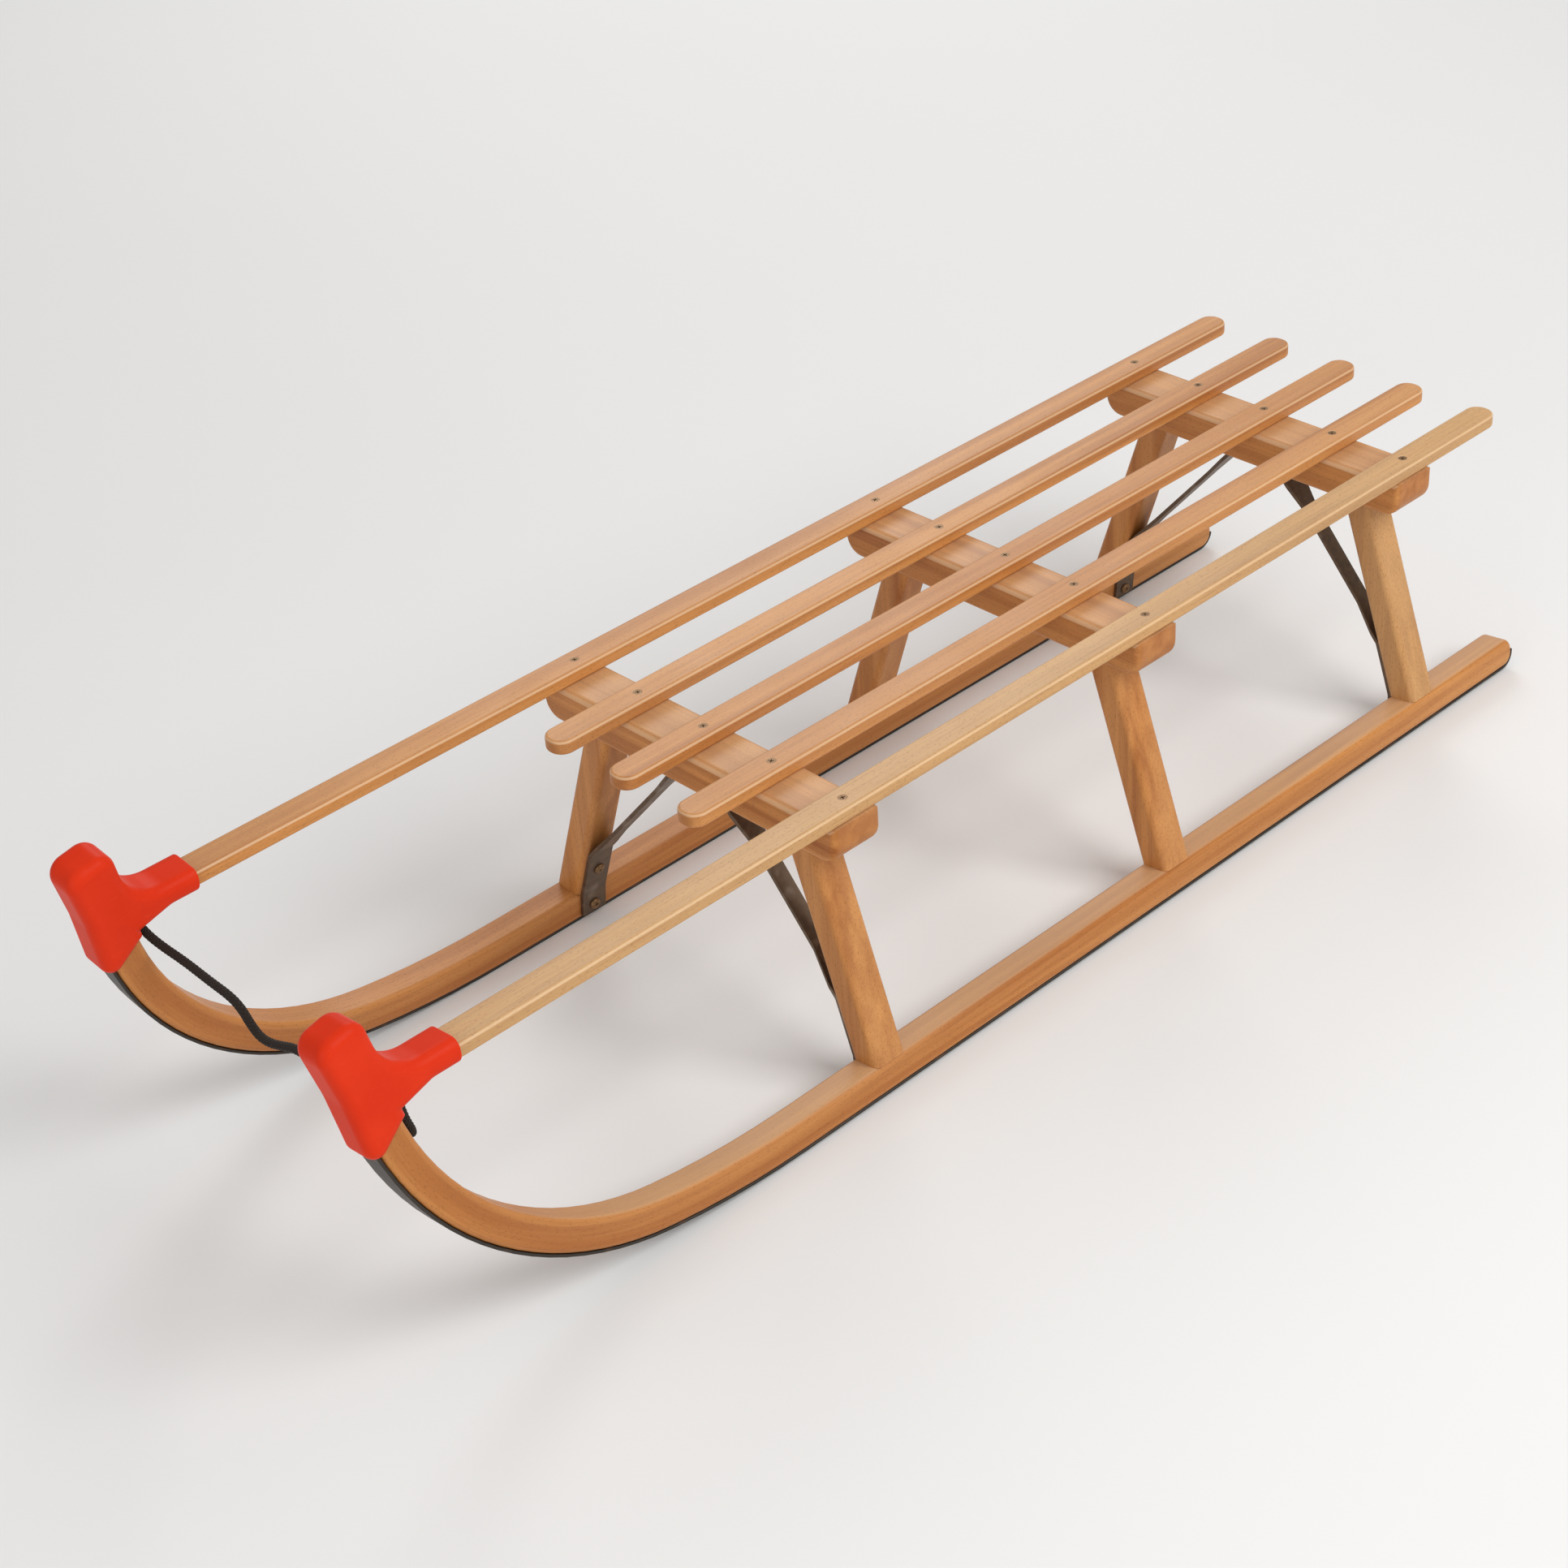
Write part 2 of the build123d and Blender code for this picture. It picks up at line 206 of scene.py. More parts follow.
# Socket places of a Mix node that mixes colours, and of one that mixes vectors
MIX_A, MIX_B, MIX_RESULT = 6, 7, 2
MIX_VECTOR_A, MIX_VECTOR_B, MIX_VECTOR_RESULT = 4, 5, 1


def object_grain(rotation=(0.0, 0.0, 0.0)):
    """Coordinates of a straight piece, turned so that X runs along its fibres."""
    def lay(tree):
        place = add(tree, "ShaderNodeTexCoord")
        turn = add(
            tree, "ShaderNodeMapping", {"Vector": place.outputs["Object"], "Rotation": rotation},
            vector_type="TEXTURE",
        )
        return turn.outputs["Vector"]
    return lay


def bent_grain(side):
    """Coordinates that follow a runner's bend: X along it, Y across its width, Z up from its sole."""
    step = sweep_radius - horn_radius
    horn_ahead = step * math.sin(sweep_angle)
    horn_above = sweep_radius - step * math.cos(sweep_angle)
    horn_along = sweep_radius * sweep_angle - horn_radius * sweep_angle
    arcs = (
        (sweep_radius, (0.0, 0.0, sweep_radius), 0.0, 0.0),
        (horn_radius, (-horn_ahead, 0.0, horn_above), sweep_angle, horn_along),
    )

    def lay(tree):
        place = add(tree, "ShaderNodeTexCoord")
        plane = add(
            tree, "ShaderNodeMapping",
            {
                "Vector": place.outputs["Object"],
                "Location": (bend_start, side * runner_foot, runner_lift),
                "Rotation": (side * runner_lean, 0.0, 0.0),
            },
            vector_type="TEXTURE",
        )
        straight = add(
            tree, "ShaderNodeVectorMath", {0: plane.outputs[0], 1: (0.0, 0.0, runner_sole)},
            operation="SUBTRACT",
        )
        across = add(tree, "ShaderNodeSeparateXYZ", {0: straight.outputs[0]}).outputs["Y"]
        laid = straight.outputs[0]
        for radius, to_centre, start, along_shift in arcs:
            spoke = add(
                tree, "ShaderNodeVectorMath",
                {0: straight.outputs[0], 1: (1.0, 0.0, -1.0), 2: to_centre},
                operation="MULTIPLY_ADD",
            )
            reach = add(tree, "ShaderNodeVectorMath", {0: spoke.outputs[0]}, operation="LENGTH")
            ahead, _, below = add(tree, "ShaderNodeSeparateXYZ", {0: spoke.outputs[0]}).outputs
            angle = add(tree, "ShaderNodeMath", {0: ahead, 1: below}, operation="ARCTAN2")
            along = add(
                tree, "ShaderNodeMath", {0: angle.outputs[0], 1: radius, 2: along_shift},
                operation="MULTIPLY_ADD",
            )
            up = add(tree, "ShaderNodeMath", {0: radius, 1: reach.outputs["Value"]}, operation="SUBTRACT")
            bent = add(tree, "ShaderNodeCombineXYZ", {0: along.outputs[0], 1: across, 2: up.outputs[0]})
            past = add(tree, "ShaderNodeMath", {0: angle.outputs[0], 1: start}, operation="GREATER_THAN")
            laid = add(
                tree, "ShaderNodeMix",
                {"Factor": past.outputs[0], MIX_VECTOR_A: laid, MIX_VECTOR_B: bent.outputs[0]},
                data_type="VECTOR",
            ).outputs[MIX_VECTOR_RESULT]
        return laid
    return lay


def new_material(name):
    """A material with its node tree and its shader."""
    material = bpy.data.materials.new(name)
    material.use_nodes = True
    tree = material.node_tree
    return material, tree, tree.nodes["Principled BSDF"]


def lacquered_beech(name, lay_grain, sapwood, painted_top_sheen=0.0, end_axis=None):
    """Steamed beech under clear satin lacquer: even tan wood with soft bands, fine fibres and short dark ray
    flecks along the grain. The lacquer adds a soft white sheen. Sapwood is paler and more yellow, faces that
    lie upward get painted sheen and light, upper edges get a painted highlight, and end grain shows darker."""
    band_length, band_width = 420 * mm, 11 * mm
    tone_length, tone_width = 900 * mm, 48 * mm
    # Beech's own fibres and flecks are too fine to show, so both are drawn several times as wide
    fibre_length, fibre_width = 55 * mm, 0.9 * mm
    fleck_length, fleck_width = 5.0 * mm, 1.3 * mm
    smear_size = 60 * mm

    material, tree, shader = new_material(name)
    grain = lay_grain(tree)
    patterns = {}
    for pattern, kind, length, width, values in (
        ("bands", "ShaderNodeTexNoise", band_length, band_width, {"Detail": 3.0, "Distortion": 0.35}),
        ("fibres", "ShaderNodeTexNoise", fibre_length, fibre_width, {"Detail": 2.0}),
        ("flecks", "ShaderNodeTexVoronoi", fleck_length, fleck_width, {}),
        ("tone", "ShaderNodeTexNoise", tone_length, tone_width, {}),
        ("smears", "ShaderNodeTexNoise", smear_size, smear_size, {}),
    ):
        scaled = add(
            tree, "ShaderNodeMapping", {"Vector": grain, "Scale": (1 / length, 1 / width, 1 / width)}
        )
        feeds = {"Vector": scaled.outputs["Vector"], "Scale": 1.0, **values}
        patterns[pattern] = add(tree, kind, feeds).outputs[0]

    normal = add(tree, "ShaderNodeNewGeometry").outputs["Normal"]
    lift = add(tree, "ShaderNodeSeparateXYZ", {0: normal}).outputs["Z"]
    readings = [
        ("bands", patterns["bands"], 0.32, 0.68, 0.0, 1.0),
        ("tone", patterns["tone"], 0.35, 0.65, 0.0, 0.6),
        ("fibres", patterns["fibres"], 0.5, 0.75, 0.0, 0.35),
        ("flecks", patterns["flecks"], 0.14, 0.28, 0.4, 0.0),
        # Painted sheen and light: faces that lie upward are mixed toward a pale colour
        ("painted_top_sheen", lift, 0.75, 0.98, 0.0, painted_top_sheen),
    ]
    if end_axis:
        fall = add(tree, "ShaderNodeMath", {0: 1.0, 1: lift}, operation="SUBTRACT")
        slope = add(tree, "ShaderNodeMath", {0: lift, 1: fall.outputs[0]}, operation="MULTIPLY")
        facing = add(tree, "ShaderNodeVectorMath", {0: normal, 1: end_axis}, operation="DOT_PRODUCT")
        endwise = add(tree, "ShaderNodeMath", {0: facing.outputs["Value"]}, operation="ABSOLUTE")
        # Painted highlight: upper edges, halfway between top and side, are mixed toward a pale colour
        readings.append(("painted_edge_highlight", slope.outputs[0], 0.1, 0.22, 0.0, 0.5))
        readings.append(("ends", endwise.outputs[0], 0.75, 0.97, 0.0, 0.45))
    shares = {"sapwood": sapwood}
    for layer, value, low, high, start, end in readings:
        shares[layer] = add(
            tree, "ShaderNodeMapRange",
            {"Value": value, "From Min": low, "From Max": high, "To Min": start, "To Max": end},
        ).outputs[0]

    # Each layer's colour goes over the ones before it
    colour = linear("#CC8A49")
    for layer, shade in (
        ("bands", "#9E5A24"),
        ("tone", "#C98F58"),
        ("sapwood", "#CBAD7C"),
        ("fibres", "#8F5426"),
        ("flecks", "#6F3D1A"),
        # Painted sheen and light on the faces that lie upward
        ("painted_top_sheen", "#D8B993"),
        # Painted highlight on the upper edges
        ("painted_edge_highlight", "#EBCBA4"),
        ("ends", "#A0622F"),
    ):
        if layer in shares:
            colour = add(
                tree, "ShaderNodeMix",
                {"Factor": shares[layer], MIX_A: colour, MIX_B: linear(shade)},
                data_type="RGBA",
            ).outputs[MIX_RESULT]
    roughness = add(
        tree, "ShaderNodeMapRange", {"Value": patterns["smears"], "To Min": 0.34, "To Max": 0.54}
    )
    relief = add(
        tree, "ShaderNodeMath", {0: shares["flecks"], 1: patterns["fibres"]}, operation="SUBTRACT"
    )
    bump = add(
        tree, "ShaderNodeBump",
        {"Strength": 0.25, "Distance": 0.12 * mm, "Height": relief.outputs[0]},
    )
    tree.links.new(colour, shader.inputs["Base Color"])
    tree.links.new(roughness.outputs[0], shader.inputs["Roughness"])
    tree.links.new(bump.outputs["Normal"], shader.inputs["Normal"])
    shader.inputs["IOR"].default_value = 1.5
    shader.inputs["Specular IOR Level"].default_value = 0.2
    shader.inputs["Coat Weight"].default_value = 0.1
    shader.inputs["Coat Roughness"].default_value = 0.28
    return material


def moulded_plastic():
    """Injection-moulded polypropylene, dyed orange-red: a smooth satin skin with a faint ripple, small scuffs
    that dull and lighten it, and slight changes of depth in the dye."""
    dye_size = 35 * mm
    # The mould's ripple and the scuffs are finer than this, and are drawn as coarse as they need to show
    ripple_size = 1.6 * mm
    scuff_length, scuff_width = 9 * mm, 0.7 * mm

    material, tree, shader = new_material("polypropylene_moulded_red")
    place = add(tree, "ShaderNodeTexCoord").outputs["Object"]
    ripple = add(tree, "ShaderNodeTexNoise", {"Vector": place, "Scale": 1 / ripple_size, "Detail": 2.0})
    dye = add(tree, "ShaderNodeTexNoise", {"Vector": place, "Scale": 1 / dye_size, "Detail": 3.0})
    scaled = add(
        tree, "ShaderNodeMapping",
        {
            "Vector": place,
            "Rotation": (0.3, 0.5, 0.2),
            "Scale": (1 / scuff_length, 1 / scuff_width, 1 / scuff_width),
        },
    )
    scuffs = add(tree, "ShaderNodeTexNoise", {"Vector": scaled.outputs[0], "Scale": 1.0, "Detail": 3.0})
    scuff_mask = add(
        tree, "ShaderNodeMapRange",
        {"Value": scuffs.outputs[0], "From Min": 0.66, "From Max": 0.78, "To Max": 0.6},
    )
    dyed = add(
        tree, "ShaderNodeMix",
        {"Factor": dye.outputs[0], MIX_A: linear("#DD3A1C"), MIX_B: linear("#CC2E14")},
        data_type="RGBA",
    )
    colour = add(
        tree, "ShaderNodeMix",
        {"Factor": scuff_mask.outputs[0], MIX_A: dyed.outputs[MIX_RESULT], MIX_B: linear("#DE5236")},
        data_type="RGBA",
    )
    roughness = add(
        tree, "ShaderNodeMapRange", {"Value": scuff_mask.outputs[0], "To Min": 0.36, "To Max": 0.56}
    )
    bump = add(
        tree, "ShaderNodeBump", {"Strength": 0.2, "Distance": 0.05 * mm, "Height": ripple.outputs[0]}
    )
    tree.links.new(colour.outputs[MIX_RESULT], shader.inputs["Base Color"])
    tree.links.new(roughness.outputs[0], shader.inputs["Roughness"])
    tree.links.new(bump.outputs["Normal"], shader.inputs["Normal"])
    shader.inputs["IOR"].default_value = 1.49
    shader.inputs["Specular IOR Level"].default_value = 0.05
    return material


def rolled_steel(name, lay_grain):
    """Hot-rolled steel strip, dark with scale: paler scratches run along it, with a breath of rust where it
    is dull."""
    # Real scratches are hair-fine, so these are drawn as coarse as they need to show
    scratch_length, scratch_width = 90 * mm, 0.5 * mm
    rust_size = 22 * mm

    material, tree, shader = new_material(name)
    grain = lay_grain(tree)
    scaled = add(
        tree, "ShaderNodeMapping",
        {"Vector": grain, "Scale": (1 / scratch_length, 1 / scratch_width, 1 / scratch_width)},
    )
    scratches = add(tree, "ShaderNodeTexNoise", {"Vector": scaled.outputs[0], "Scale": 1.0, "Detail": 3.0})
    rust = add(tree, "ShaderNodeTexNoise", {"Vector": grain, "Scale": 1 / rust_size, "Detail": 6.0})
    steel = add(
        tree, "ShaderNodeMix",
        {"Factor": scratches.outputs[0], MIX_A: linear("#2E2A27"), MIX_B: linear("#5A544E")},
        data_type="RGBA",
    )
    rust_mask = add(
        tree, "ShaderNodeMapRange",
        {"Value": rust.outputs[0], "From Min": 0.56, "From Max": 0.72, "To Max": 0.6},
    )
    colour = add(
        tree, "ShaderNodeMix",
        {"Factor": rust_mask.outputs[0], MIX_A: steel.outputs[MIX_RESULT], MIX_B: linear("#5C3D28")},
        data_type="RGBA",
    )
    roughness = add(
        tree, "ShaderNodeMapRange", {"Value": scratches.outputs[0], "To Min": 0.34, "To Max": 0.6}
    )
    metal = add(
        tree, "ShaderNodeMapRange", {"Value": rust_mask.outputs[0], "To Min": 0.95, "To Max": 0.2}
    )
    bump = add(
        tree, "ShaderNodeBump", {"Strength": 0.2, "Distance": 0.05 * mm, "Height": scratches.outputs[0]}
    )
    tree.links.new(colour.outputs[MIX_RESULT], shader.inputs["Base Color"])
    tree.links.new(roughness.outputs[0], shader.inputs["Roughness"])
    tree.links.new(metal.outputs[0], shader.inputs["Metallic"])
    tree.links.new(bump.outputs["Normal"], shader.inputs["Normal"])
    return material


def forged_steel():
    """Forged bar steel, blackened: dark grey and half matt, mottled by scale, with paler rubbed patches."""
    scale_size, rub_size = 5 * mm, 26 * mm

    material, tree, shader = new_material("steel_forged_blackened")
    place = add(tree, "ShaderNodeTexCoord").outputs["Object"]
    scale = add(tree, "ShaderNodeTexNoise", {"Vector": place, "Scale": 1 / scale_size, "Detail": 5.0})
    rubs = add(tree, "ShaderNodeTexNoise", {"Vector": place, "Scale": 1 / rub_size, "Detail": 4.0})
    dark = add(
        tree, "ShaderNodeMix",
        {"Factor": scale.outputs[0], MIX_A: linear("#4A3B30"), MIX_B: linear("#806B57")},
        data_type="RGBA",
    )
    rub_mask = add(
        tree, "ShaderNodeMapRange",
        {"Value": rubs.outputs[0], "From Min": 0.55, "From Max": 0.75, "To Max": 0.7},
    )
    colour = add(
        tree, "ShaderNodeMix",
        {"Factor": rub_mask.outputs[0], MIX_A: dark.outputs[MIX_RESULT], MIX_B: linear("#A8998A")},
        data_type="RGBA",
    )
    roughness = add(
        tree, "ShaderNodeMapRange", {"Value": scale.outputs[0], "To Min": 0.36, "To Max": 0.62}
    )
    bump = add(
        tree, "ShaderNodeBump", {"Strength": 0.3, "Distance": 0.15 * mm, "Height": scale.outputs[0]}
    )
    tree.links.new(colour.outputs[MIX_RESULT], shader.inputs["Base Color"])
    tree.links.new(roughness.outputs[0], shader.inputs["Roughness"])
    tree.links.new(bump.outputs["Normal"], shader.inputs["Normal"])
    shader.inputs["Metallic"].default_value = 0.75
    return material


def plated_steel():
    """Screw steel with yellow zinc plating, gone dull and brown: dark metal with fine cloudy stains."""
    stain_size = 1.5 * mm

    material, tree, shader = new_material("steel_zinc_yellow_dull")
    place = add(tree, "ShaderNodeTexCoord").outputs["Object"]
    stains = add(tree, "ShaderNodeTexNoise", {"Vector": place, "Scale": 1 / stain_size, "Detail": 4.0})
    colour = add(
        tree, "ShaderNodeMix",
        {"Factor": stains.outputs[0], MIX_A: linear("#60442A"), MIX_B: linear("#94724C")},
        data_type="RGBA",
    )
    roughness = add(
        tree, "ShaderNodeMapRange", {"Value": stains.outputs[0], "To Min": 0.3, "To Max": 0.55}
    )
    tree.links.new(colour.outputs[MIX_RESULT], shader.inputs["Base Color"])
    tree.links.new(roughness.outputs[0], shader.inputs["Roughness"])
    shader.inputs["Metallic"].default_value = 0.6
    return material


def braided_polyester():
    """Braided polyester cord, dyed charcoal: soft sheen, with fine threads along each strand of the braid."""
    # Real threads are too fine to show, so these are drawn about twice as wide
    thread_width, thread_length = 0.25 * mm, 6 * mm

    material, tree, shader = new_material("polyester_braided_charcoal")
    place = add(tree, "ShaderNodeUVMap", uv_map="strand")
    scaled = add(
        tree, "ShaderNodeMapping",
        {"Vector": place.outputs["UV"], "Scale": (1 / thread_length, 1 / thread_width, 1.0)},
    )
    threads = add(tree, "ShaderNodeTexNoise", {"Vector": scaled.outputs[0], "Scale": 1.0, "Detail": 2.0})
    colour = add(
        tree, "ShaderNodeMix",
        {"Factor": threads.outputs[0], MIX_A: linear("#0B0806"), MIX_B: linear("#33271D")},
        data_type="RGBA",
    )
    bump = add(
        tree, "ShaderNodeBump", {"Strength": 0.4, "Distance": 0.08 * mm, "Height": threads.outputs[0]}
    )
    tree.links.new(colour.outputs[MIX_RESULT], shader.inputs["Base Color"])
    tree.links.new(bump.outputs["Normal"], shader.inputs["Normal"])
    shader.inputs["Roughness"].default_value = 0.75
    shader.inputs["Specular IOR Level"].default_value = 0.25
    shader.inputs["Sheen Weight"].default_value = 0.06
    return material


def pale_floor():
    """Matt studio paper, pale grey with hardly visible clouds."""
    cloud_size = 700 * mm

    material, tree, shader = new_material("paper_matt_pale")
    place = add(tree, "ShaderNodeTexCoord").outputs["Object"]
    clouds = add(tree, "ShaderNodeTexNoise", {"Vector": place, "Scale": 1 / cloud_size})
    colour = add(
        tree, "ShaderNodeMix",
        {"Factor": clouds.outputs[0], MIX_A: linear("#E6E5E3"), MIX_B: linear("#E9E8E7")},
        data_type="RGBA",
    )
    tree.links.new(colour.outputs[MIX_RESULT], shader.inputs["Base Color"])
    shader.inputs["Roughness"].default_value = 0.9
    shader.inputs["Specular IOR Level"].default_value = 0.2
    return material


def set_camera():
    """The camera looks down on the sled's front left corner."""
    view = Vector((
        math.cos(camera_heading) * math.cos(camera_dip),
        math.sin(camera_heading) * math.cos(camera_dip),
        -math.sin(camera_dip),
    ))
    level_right = view.cross(Vector((0, 0, 1))).normalized()
    level_up = level_right.cross(view)
    right = level_right * math.cos(camera_roll) + level_up * math.sin(camera_roll)
    up = level_up * math.cos(camera_roll) - level_right * math.sin(camera_roll)
    lens = bpy.data.cameras.new("camera")
    lens.lens = camera_lens_mm
    lens.sensor_width = camera_sensor_mm
    lens.sensor_fit = "HORIZONTAL"
    camera = bpy.data.objects.new("camera", lens)
    bpy.context.scene.collection.objects.link(camera)
    axes = Matrix((right, up, -view)).transposed().to_4x4()
    camera.matrix_world = Matrix.Translation(camera_place) @ axes
    bpy.context.scene.camera = camera


def cord_centre_line():
    """Points of the smooth line that the cord's route controls."""
    curve = bpy.data.curves.new("cord_line", "CURVE")
    curve.dimensions = "3D"
    curve.resolution_u = cord_steps_per_point
    spline = curve.splines.new("NURBS")
    spline.points.add(len(cord_route) - 1)
    for point, place in zip(spline.points, cord_route):
        point.co = (*place, 1.0)
    spline.order_u = 3
    spline.use_endpoint_u = True
    guide = bpy.data.objects.new("cord_line", curve)
    bpy.context.scene.collection.objects.link(guide)
    mesh = plain_mesh(guide, "cord_line")
    points = [vertex.co.copy() for vertex in mesh.vertices]
    bpy.data.meshes.remove(mesh)
    bpy.data.objects.remove(guide)
    bpy.data.curves.remove(curve)
    return points


def line_frames(points):
    """Each point's distance along the line and two directions across it that don't twist."""
    frames = []
    distance = 0.0
    across = None
    for place, point in enumerate(points):
        before = points[max(place - 1, 0)]
        after = points[min(place + 1, len(points) - 1)]
        along = (after - before).normalized()
        if across is None:
            across = along.orthogonal()
        else:
            distance += (point - before).length
        across = (across - along * across.dot(along)).normalized()
        frames.append((point, distance, across, along.cross(across)))
    return frames


def add_strand(bm, uv_layer, centres, radials, half_width, half_thickness, sides):
    """Sweep a flattened round section along a strand, with its UVs in metres along and around it."""
    rings = []
    distance = 0.0
    for place, (centre, radial) in enumerate(zip(centres, radials)):
        before = centres[max(place - 1, 0)]
        after = centres[min(place + 1, len(centres) - 1)]
        distance += (centre - before).length
        sideways = (after - before).cross(radial).normalized()
        ring = []
        for side in range(sides):
            turn = 2 * math.pi * side / sides
            offset = sideways * (half_width * math.cos(turn)) + radial * (half_thickness * math.sin(turn))
            ring.append(bm.verts.new(centre + offset))
        rings.append((distance, ring))
    girth = 2 * math.pi * half_width
    for (near, ring), (far, following) in zip(rings, rings[1:]):
        for side in range(sides):
            after = (side + 1) % sides
            face = bm.faces.new((ring[side], ring[after], following[after], following[side]))
            face.smooth = True
            around = (side / sides * girth, (side + 1) / sides * girth)
            corners = ((near, around[0]), (near, around[1]), (far, around[1]), (far, around[0]))
            for loop, corner in zip(face.loops, corners):
                loop[uv_layer].uv = corner
    bm.faces.new(reversed(rings[0][1]))
    bm.faces.new(rings[-1][1])


def make_cord():
    """A round braid: two sets of strands wind opposite ways, over and under each other, on a core."""
    points = cord_centre_line()
    frames = line_frames(points)
    bm = bmesh.new()
    uv_layer = bm.loops.layers.uv.new("strand")
    core_radials = [across for _, _, across, _ in frames]
    add_strand(bm, uv_layer, points, core_radials, braid_core_radius, braid_core_radius, braid_core_sides)
    ride_radius = cord_diameter / 2 - strand_half_thickness - braid_weave
    for way in (1, -1):
        for strand in range(braid_strands):
            centres = []
            radials = []
            for point, distance, across, over in frames:
                wound = 2 * math.pi * distance / braid_pitch
                turn = 2 * math.pi * strand / braid_strands + way * wound
                radial = across * math.cos(turn) + over * math.sin(turn)
                weave = way * braid_weave * math.cos(braid_strands * wound)
                centres.append(point + radial * (ride_radius + weave))
                radials.append(radial)
            add_strand(
                bm, uv_layer, centres, radials, strand_half_width, strand_half_thickness, strand_sides
            )
    bmesh.ops.recalc_face_normals(bm, faces=bm.faces)
    mesh = bpy.data.meshes.new("pull_cord_braid")
    bm.to_mesh(mesh)
    bm.free()
    piece = show("pull_cord_braid", mesh, braided_polyester())
    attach(piece, body)
    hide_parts("pull_cord")


def screw_head(name, profile, top):
    """A turned screw with a cross recess. The profile gives radius and height from the head's rim down."""
    bm = bmesh.new()
    rings = []
    for radius, height in profile:
        ring = []
        for side in range(head_sides):
            turn = 2 * math.pi * side / head_sides
            ring.append(bm.verts.new((radius * math.cos(turn), radius * math.sin(turn), height)))
        rings.append(ring)
    for upper, lower in zip(rings, rings[1:]):
        for side in range(head_sides):
            after = (side + 1) % head_sides
            face = bm.faces.new((upper[side], lower[side], lower[after], upper[after]))
            face.smooth = True
    bm.faces.new(reversed(rings[-1]))
    outline = []
    for quarter in range(4):
        turn = Matrix.Rotation(quarter * math.pi / 2, 3, "Z")
        for corner in (
            (recess_reach, -recess_half_width),
            (recess_reach, recess_half_width),
            (recess_half_width, recess_half_width),
        ):
            outline.append(turn @ Vector((*corner, top)))
    rim = [bm.verts.new(corner) for corner in outline]
    pit = [
        bm.verts.new((corner.x * recess_taper, corner.y * recess_taper, top - recess_depth))
        for corner in outline
    ]
    edges = []
    for corners in (rings[0], rim):
        for place, corner in enumerate(corners):
            following = corners[(place + 1) % len(corners)]
            edge = bm.edges.get((corner, following)) or bm.edges.new((corner, following))
            edges.append(edge)
    bmesh.ops.triangle_fill(bm, edges=edges, use_beauty=True)
    for place in range(len(rim)):
        after = (place + 1) % len(rim)
        bm.faces.new((rim[place], rim[after], pit[after], pit[place]))
    bm.faces.new(pit)
    bmesh.ops.recalc_face_normals(bm, faces=bm.faces)
    mesh = bpy.data.meshes.new(name)
    bm.to_mesh(mesh)
    bm.free()
    head = bpy.data.objects.new(name, mesh)
    bpy.context.scene.collection.objects.link(head)
    return head


def screw_tree():
    """Geometry nodes that set a screw at each point, along the point's facing and turned at random."""
    tree = bpy.data.node_groups.new("set_screws", "GeometryNodeTree")
    tree.interface.new_socket("Places", in_out="INPUT", socket_type="NodeSocketGeometry")
    for name, kind in (
        ("Screw", "NodeSocketObject"),
        ("Size", "NodeSocketFloat"),
        ("Seed", "NodeSocketInt"),
        ("Finish", "NodeSocketMaterial"),
    ):
        tree.interface.new_socket(name, in_out="INPUT", socket_type=kind)
    tree.interface.new_socket("Screws", in_out="OUTPUT", socket_type="NodeSocketGeometry")
    given = add(tree, "NodeGroupInput").outputs
    screw = add(tree, "GeometryNodeObjectInfo", {"Object": given["Screw"]})
    facing = add(tree, "GeometryNodeInputNamedAttribute", {"Name": "facing"}, data_type="FLOAT_VECTOR")
    aim = add(
        tree, "FunctionNodeAlignRotationToVector", {"Vector": facing.outputs["Attribute"]}, axis="Z"
    )
    spin = add(
        tree, "FunctionNodeRandomValue", {2: 0.0, 3: math.pi, "Seed": given["Seed"]}, data_type="FLOAT"
    )
    turn = add(tree, "FunctionNodeAxisAngleToRotation", {"Axis": (0, 0, 1), "Angle": spin.outputs[1]})
    aimed = add(
        tree, "FunctionNodeRotateRotation",
        {"Rotation": aim.outputs[0], "Rotate By": turn.outputs[0]},
        rotation_space="LOCAL",
    )
    places = add(tree, "GeometryNodeMeshToPoints", {"Mesh": given["Places"]})
    set_screws = add(
        tree, "GeometryNodeInstanceOnPoints",
        {
            "Points": places.outputs[0],
            "Instance": screw.outputs["Geometry"],
            "Rotation": aimed.outputs[0],
            "Scale": given["Size"],
        },
    )
    solid = add(tree, "GeometryNodeRealizeInstances", {"Geometry": set_screws.outputs[0]})
    finished = add(
        tree, "GeometryNodeSetMaterial", {"Geometry": solid.outputs[0], "Material": given["Finish"]}
    )
    add(tree, "NodeGroupOutput", {0: finished.outputs[0]})
    return tree


def set_screws(name, tree, head, places, finish, seed, slot):
    """One piece with a screw at each place and facing."""
    mesh = bpy.data.meshes.new(name + "_places")
    mesh.from_pydata([place for place, _ in places], [], [])
    facing = mesh.attributes.new("facing", "FLOAT_VECTOR", "POINT")
    for value, (_, direction) in zip(facing.data, places):
        value.vector = direction
    guide = show(name + "_places", mesh)
    modifier = guide.modifiers.new("screws", "NODES")
    modifier.node_group = tree
    values = {"Screw": head, "Size": 1.0, "Seed": seed, "Finish": finish}
    for item in tree.interface.items_tree:
        if item.name in values:
            modifier[item.identifier] = values[item.name]
    screws = plain_mesh(guide, name)
    guide.modifiers.remove(modifier)
    bpy.data.objects.remove(guide)
    bpy.data.objects.remove(head)
    piece = show(name, screws)
    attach(piece, body)


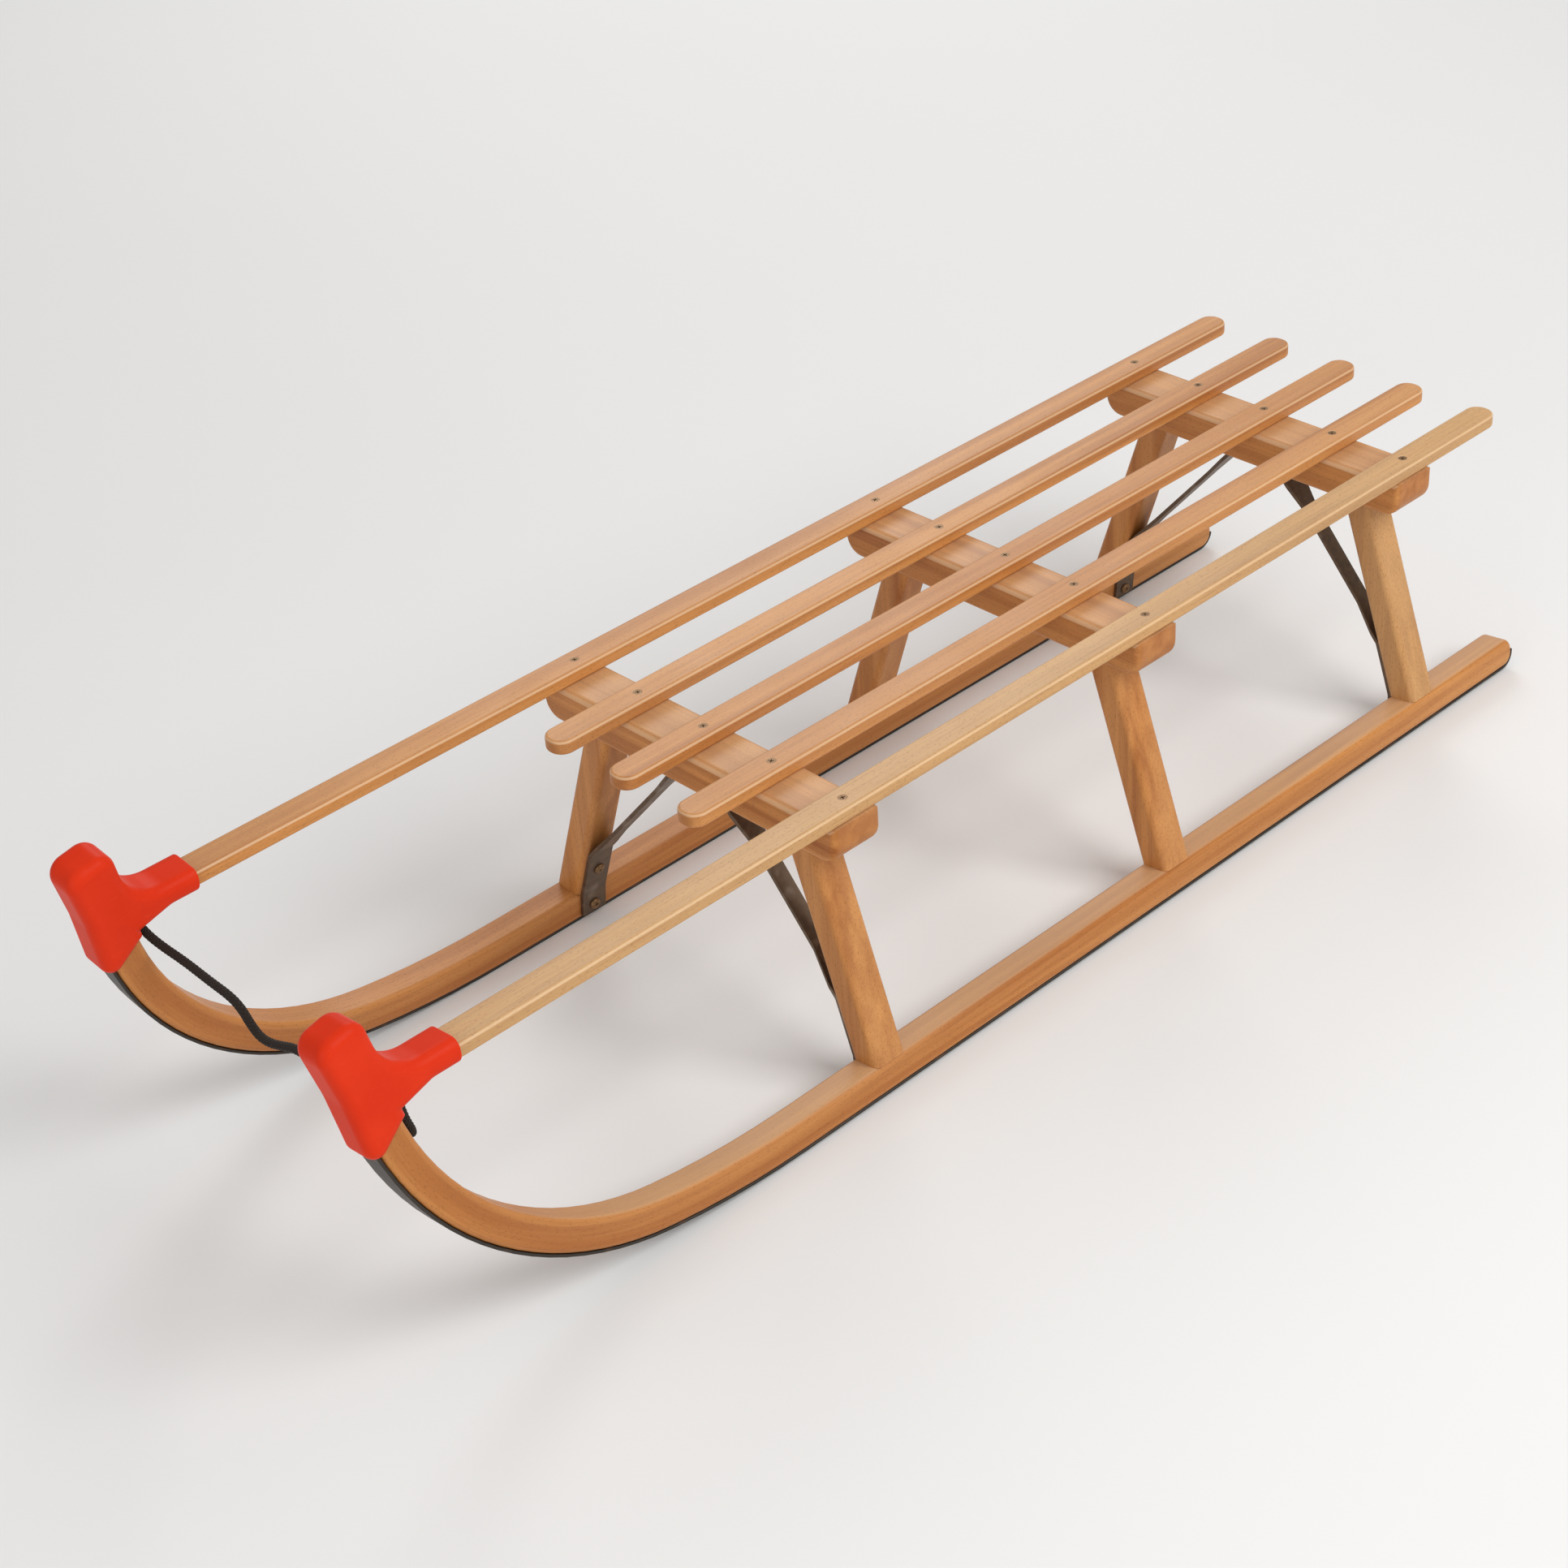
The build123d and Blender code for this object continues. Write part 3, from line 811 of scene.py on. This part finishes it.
def make_screws():
    """Slat screws in their countersinks, and brace screws on legs, runners and beams."""
    tree = screw_tree()
    finish = plated_steel()
    slat_screw = screw_head(
        "slat_screw",
        (
            (screw_head_radius, 0.0),
            (screw_shank_radius, -screw_cone_depth),
            (screw_shank_radius, -screw_shank_end),
        ),
        0.0,
    )
    slat_places = [
        (Vector((station, line, seat_top - screw_sink)), Vector((0, 0, 1)))
        for station in beam_lines.values()
        for line in slat_lines
    ]
    set_screws("slat_screws", tree, slat_screw, slat_places, finish, slat_screw_seed, "brace_steel")
    brace_screw = screw_head(
        "brace_screw",
        (
            *((pan_head_radius * wide, pan_head_height * high) for wide, high in pan_head_shares),
            (screw_shank_radius, 0.0),
            (screw_shank_radius, -screw_shank_end),
        ),
        pan_head_height,
    )
    brace_places = []
    for beam in ("cross_beam_front", "cross_beam_rear"):
        station = beam_lines[beam]
        brace_places.append((Vector((station, 0, beam_underside - brace_thickness)), Vector((0, 0, -1))))
        for side in (1, -1):
            for across, height, lean in brace_spots:
                brace_places.append((
                    Vector((station, side * across, height)),
                    Vector((0, -side * math.cos(lean), -math.sin(lean))),
                ))
    set_screws("brace_screws", tree, brace_screw, brace_places, finish, brace_screw_seed, "brace_steel")


def dress_nodes():
    """Give every solid that stays its finish."""
    plastic = moulded_plastic()
    bar_steel = forged_steel()
    finishes = {
        "tip_cap_left": plastic,
        "tip_cap_right": plastic,
        "brace_front": bar_steel,
        "brace_rear": bar_steel,
    }
    lengthwise = object_grain()
    for name, share in slat_sapwood.items():
        finishes[name] = lacquered_beech(
            "beech_lacquered_" + name, lengthwise, share, painted_top_sheen=slat_painted_sheen, end_axis=(1.0, 0.0, 0.0)
        )
    crosswise = object_grain((0.0, 0.0, math.pi / 2))
    for name, share in beam_sapwood.items():
        finishes[name] = lacquered_beech(
            "beech_lacquered_" + name, crosswise, share, painted_top_sheen=beam_painted_sheen, end_axis=(0.0, 1.0, 0.0)
        )
    for name, share in leg_sapwood.items():
        side = 1 if name.endswith("left") else -1
        upright = object_grain((side * leg_splay, -math.pi / 2, 0.0))
        finishes[name] = lacquered_beech("beech_lacquered_" + name, upright, share)
    for side_name, side in (("left", 1), ("right", -1)):
        bent = bent_grain(side)
        finishes["runner_" + side_name] = lacquered_beech(
            "beech_bent_lacquered_" + side_name, bent, 0.0, painted_top_sheen=runner_painted_sheen[side_name]
        )
        finishes["runner_shoe_" + side_name] = rolled_steel("steel_rolled_strip_" + side_name, bent)
    for name, finish in finishes.items():
        nodes[name].data.materials.clear()
        nodes[name].data.materials.append(finish)


def light_studio():
    """A pale paper floor in an even white room, with a large soft key light from the sled's left, one from
    behind that gives the upper faces their sheen, and a weak one in front."""
    bm = bmesh.new()
    bmesh.ops.create_grid(bm, x_segments=1, y_segments=1, size=floor_size / 2)
    mesh = bpy.data.meshes.new("floor")
    bm.to_mesh(mesh)
    bm.free()
    for vertex in mesh.vertices:
        vertex.co.z = -floor_gap
    show("floor", mesh, pale_floor())
    world = bpy.data.worlds.new("room")
    world.use_nodes = True
    sky = world.node_tree.nodes["Background"]
    sky.inputs["Color"].default_value = linear("#FFFFFF")
    sky.inputs["Strength"].default_value = room_strength
    bpy.context.scene.world = world
    for name, (place, aim, size, power) in lamps.items():
        lamp = bpy.data.lights.new(name, "AREA")
        lamp.shape = "SQUARE"
        lamp.size = size
        lamp.energy = power
        light = bpy.data.objects.new(name, lamp)
        bpy.context.scene.collection.objects.link(light)
        turn = (Vector(aim) - Vector(place)).to_track_quat("-Z", "Y")
        light.matrix_world = Matrix.Translation(place) @ turn.to_matrix().to_4x4()
    bpy.context.scene.view_settings.view_transform = "Standard"


set_camera()
make_cord()
make_screws()
dress_nodes()
light_studio()
